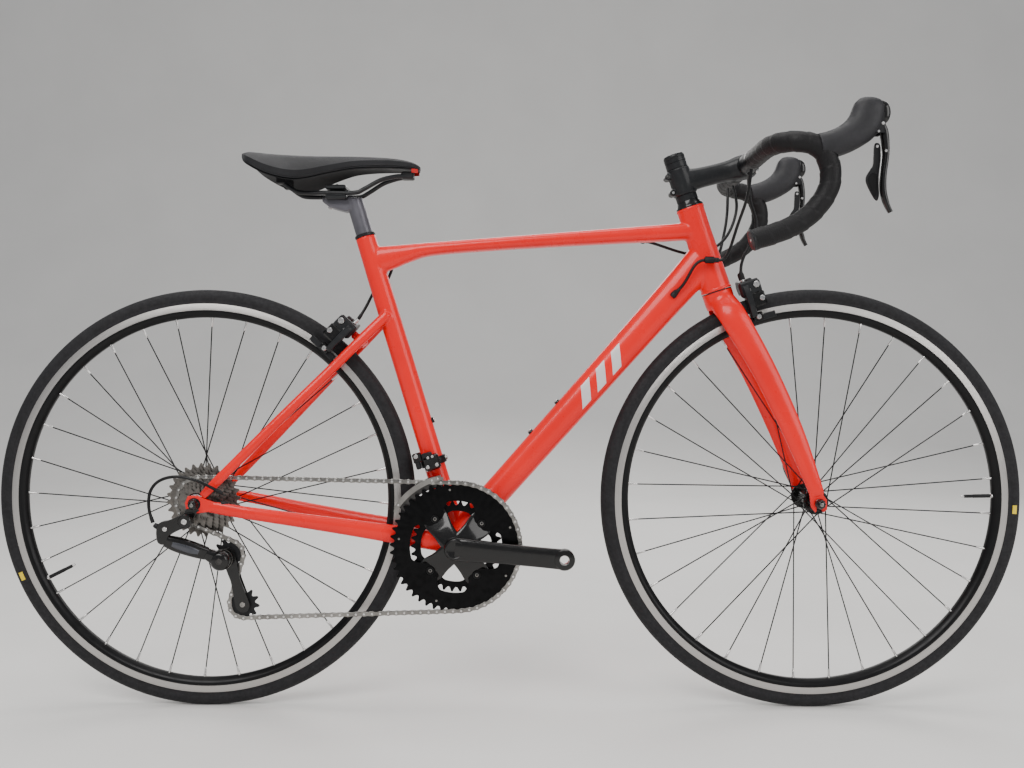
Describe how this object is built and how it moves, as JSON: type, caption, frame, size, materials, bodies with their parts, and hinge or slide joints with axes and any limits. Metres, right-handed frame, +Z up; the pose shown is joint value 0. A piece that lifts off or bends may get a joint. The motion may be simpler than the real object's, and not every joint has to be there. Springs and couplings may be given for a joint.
{
  "type": "road bicycle",
  "caption": "Road bicycle with a sloping aluminium frame, drop bars, calliper brakes, spoked wheels, double chainset and rear derailleur, with working steering, wheels, cranks and levers",
  "frame": {"origin": "on the ground, in the mid plane, halfway between the two wheel axles", "axes": "+Z up, +X towards the front wheel, -Y is the drive side"},
  "size_m": [1.642, 0.4498, 0.922],
  "materials": {
    "red_paint": "gloss coral red enamel on aluminium tube and a painted fork",
    "black_metal": "black anodised or painted, satin to gloss",
    "black_rubber": "matte moulded rubber and cable housing",
    "tyre_rubber": "matte dark grey, fine moulded tread",
    "bar_tape": "matte wound cork tape",
    "steel": "plated, worn bright at the edges",
    "rim_metal": "black anodised with a machined silver brake track",
    "dark_plastic": "satin moulded",
    "saddle_cover": "matte synthetic cover with a fine grain"
  },
  "bodies": {
    "frame": {"head_tube": "red_paint", "top_tube": "red_paint", "down_tube": "red_paint", "seat_tube": "red_paint", "bottom_bracket_shell": "red_paint", "right_chainstay": "red_paint", "left_chainstay": "red_paint", "seatstays": "red_paint", "seatpost_collar": "dark_plastic", "right_shift_cable": "black_rubber", "left_shift_cable": "black_rubber", "rear_brake_cable_front": "black_rubber", "rear_brake_cable_rear": "black_rubber", "derailleur_cable_loop": "black_rubber", "front_derailleur_body": "black_metal", "rear_skewer": "black_metal", "chain": "steel"},
    "steering": {"fork": "red_paint", "headset_cover": "black_metal", "top_cap": "black_metal", "stem": "black_metal", "stem_faceplate": "black_metal", "handlebar": "black_metal", "right_bar_tape": "bar_tape", "left_bar_tape": "bar_tape", "right_hood": "black_rubber", "left_hood": "black_rubber", "front_brake_cable": "black_rubber", "front_skewer": "black_metal"},
    "front_wheel": {"front_tyre": "tyre_rubber", "front_rim": "rim_metal", "front_spoked_hub": "black_metal"},
    "rear_wheel": {"rear_tyre": "tyre_rubber", "rear_rim": "rim_metal", "rear_spoked_hub": "black_metal"},
    "cranks": {"right_crank": "black_metal", "left_crank": "black_metal", "outer_chainring": "black_metal", "inner_chainring": "black_metal"},
    "cassette": {"cassette": "steel"},
    "guide_pulley": {"guide_pulley": "dark_plastic"},
    "tension_pulley": {"tension_pulley": "dark_plastic"},
    "right_lever": {"right_brake_lever": "black_metal"},
    "left_lever": {"left_brake_lever": "black_metal"},
    "right_paddle": {"right_shift_paddle": "dark_plastic"},
    "left_paddle": {"left_shift_paddle": "dark_plastic"},
    "rear_right_arm": {"rear_brake_right_arm": "black_metal"},
    "rear_left_arm": {"rear_brake_left_arm": "black_metal"},
    "front_right_arm": {"front_brake_right_arm": "black_metal"},
    "front_left_arm": {"front_brake_left_arm": "black_metal"},
    "front_cage": {"front_derailleur_cage": "steel"},
    "b_knuckle": {"rd_b_knuckle": "black_metal"},
    "link": {"rd_link": "steel"},
    "p_knuckle": {"rd_p_knuckle": "black_metal"},
    "rear_cage": {"rd_cage": "black_metal"},
    "front_quick_release": {"front_qr_lever": "black_metal"},
    "rear_quick_release": {"rear_qr_lever": "black_metal"},
    "seatpost": {"seatpost": "black_metal"},
    "saddle": {"saddle": "saddle_cover", "saddle_rails": "black_metal"}
  },
  "joints": [
    {"name": "steering_turn", "type": "hinge", "parent": "frame", "child": "steering", "pos_m": [0.33394, 0, 0.67018], "axis": [-0.309, 0, 0.9511], "range_deg": [-45, 45], "deforming": ["right_shift_cable", "left_shift_cable", "rear_brake_cable_front"]},
    {"name": "front_wheel_spin", "type": "hinge", "parent": "steering", "child": "front_wheel", "pos_m": [0.485, 0, 0.336], "axis": [0, 1, 0], "continuous": true},
    {"name": "rear_wheel_spin", "type": "hinge", "parent": "frame", "child": "rear_wheel", "pos_m": [-0.485, 0, 0.336], "axis": [0, 1, 0], "continuous": true},
    {"name": "crank_turn", "type": "hinge", "parent": "frame", "child": "cranks", "pos_m": [-0.08102, 0, 0.266], "axis": [0, 1, 0], "continuous": true},
    {"name": "cassette_turn", "type": "hinge", "parent": "frame", "child": "cassette", "pos_m": [-0.485, 0, 0.336], "axis": [0, 1, 0], "continuous": true},
    {"name": "guide_pulley_turn", "type": "hinge", "parent": "rear_cage", "child": "guide_pulley", "pos_m": [-0.4405, -0.03806, 0.2515], "axis": [0, 1, 0], "continuous": true},
    {"name": "tension_pulley_turn", "type": "hinge", "parent": "rear_cage", "child": "tension_pulley", "pos_m": [-0.4184, -0.03806, 0.1734], "axis": [0, 1, 0], "continuous": true},
    {"name": "right_lever_pull", "type": "hinge", "parent": "steering", "child": "right_lever", "pos_m": [0.51989, -0.205, 0.88614], "axis": [0, 1, 0], "range_deg": [0, 22], "stiffness_Nm_per_rad": 1.5},
    {"name": "left_lever_pull", "type": "hinge", "parent": "steering", "child": "left_lever", "pos_m": [0.51989, 0.205, 0.88614], "axis": [0, 1, 0], "range_deg": [0, 22], "stiffness_Nm_per_rad": 1.5},
    {"name": "right_paddle_push", "type": "hinge", "parent": "right_lever", "child": "right_paddle", "pos_m": [0.51689, -0.201, 0.85714], "axis": [1, 0, 0], "range_deg": [0, 20], "stiffness_Nm_per_rad": 0.5},
    {"name": "left_paddle_push", "type": "hinge", "parent": "left_lever", "child": "left_paddle", "pos_m": [0.51689, 0.201, 0.85714], "axis": [-1, 0, 0], "range_deg": [0, 20], "stiffness_Nm_per_rad": 0.5},
    {"name": "rear_right_arm_close", "type": "hinge", "parent": "frame", "child": "rear_right_arm", "pos_m": [-0.23532, 0, 0.58836], "axis": [0.7109, 0, -0.7033], "range_deg": [0, 1.5]},
    {"name": "rear_left_arm_close", "type": "hinge", "parent": "frame", "child": "rear_left_arm", "pos_m": [-0.23532, 0, 0.58836], "axis": [-0.7109, 0, 0.7033], "range_deg": [0, 1.5]},
    {"name": "front_right_arm_close", "type": "hinge", "parent": "steering", "child": "front_right_arm", "pos_m": [0.33811, 0, 0.65734], "axis": [0.9511, 0, 0.309], "range_deg": [0, 1.6]},
    {"name": "front_left_arm_close", "type": "hinge", "parent": "steering", "child": "front_left_arm", "pos_m": [0.33811, 0, 0.65734], "axis": [-0.9511, 0, -0.309], "range_deg": [0, 1.6]},
    {"name": "front_cage_shift", "type": "slide", "parent": "frame", "child": "front_cage", "axis": [0, 1, 0], "range_m": [0, 0.0065], "deforming": ["chain"]},
    {"name": "b_knuckle_turn", "type": "hinge", "parent": "frame", "child": "b_knuckle", "pos_m": [-0.4955, -0.072, 0.3115], "axis": [0, 1, 0], "range_deg": [-5, 15], "deforming": ["chain", "derailleur_cable_loop"]},
    {"name": "link_swing", "type": "hinge", "parent": "b_knuckle", "child": "link", "pos_m": [-0.527, -0.08, 0.285], "axis": [0.4216, 0, 0.9068], "range_deg": [-20, 12.5], "deforming": ["chain"]},
    {"name": "p_knuckle_swing", "type": "hinge", "parent": "link", "child": "p_knuckle", "pos_m": [-0.47, -0.06256, 0.2585], "axis": [0.4216, 0, 0.9068], "range_deg": [-12.6, 20.1], "deforming": ["chain"]},
    {"name": "rear_cage_swing", "type": "hinge", "parent": "p_knuckle", "child": "rear_cage", "pos_m": [-0.448, -0.04586, 0.2465], "axis": [0, 1, 0], "range_deg": [-35, 25], "stiffness_Nm_per_rad": 1.5, "deforming": ["chain"]},
    {"name": "front_quick_release_open", "type": "hinge", "parent": "steering", "child": "front_quick_release", "pos_m": [0.485, 0.0735, 0.336], "axis": [-0.9371, 0, -0.3489], "range_deg": [0, 110]},
    {"name": "rear_quick_release_open", "type": "hinge", "parent": "frame", "child": "rear_quick_release", "pos_m": [-0.485, 0.0885, 0.336], "axis": [-0.9371, 0, 0.3489], "range_deg": [0, 110]},
    {"name": "seatpost_height", "type": "slide", "parent": "frame", "child": "seatpost", "axis": [-0.2882, 0, 0.9576], "range_m": [-0.033, 0.05]},
    {"name": "saddle_setback", "type": "slide", "parent": "seatpost", "child": "saddle", "axis": [1, 0, 0], "range_m": [-0.008, 0.028]}
  ],
  "couplings": [
    {"joint": "cassette_turn", "follows": "crank_turn", "ratio": 2.6316},
    {"joint": "guide_pulley_turn", "follows": "crank_turn", "ratio": -4.5455},
    {"joint": "tension_pulley_turn", "follows": "crank_turn", "ratio": 4.5455},
    {"joint": "rear_right_arm_close", "follows": "left_lever_pull", "ratio": 0.0681},
    {"joint": "rear_left_arm_close", "follows": "left_lever_pull", "ratio": 0.0681},
    {"joint": "front_right_arm_close", "follows": "right_lever_pull", "ratio": 0.0727},
    {"joint": "front_left_arm_close", "follows": "right_lever_pull", "ratio": 0.0727},
    {"joint": "p_knuckle_swing", "follows": "link_swing", "ratio": -1}
  ]
}
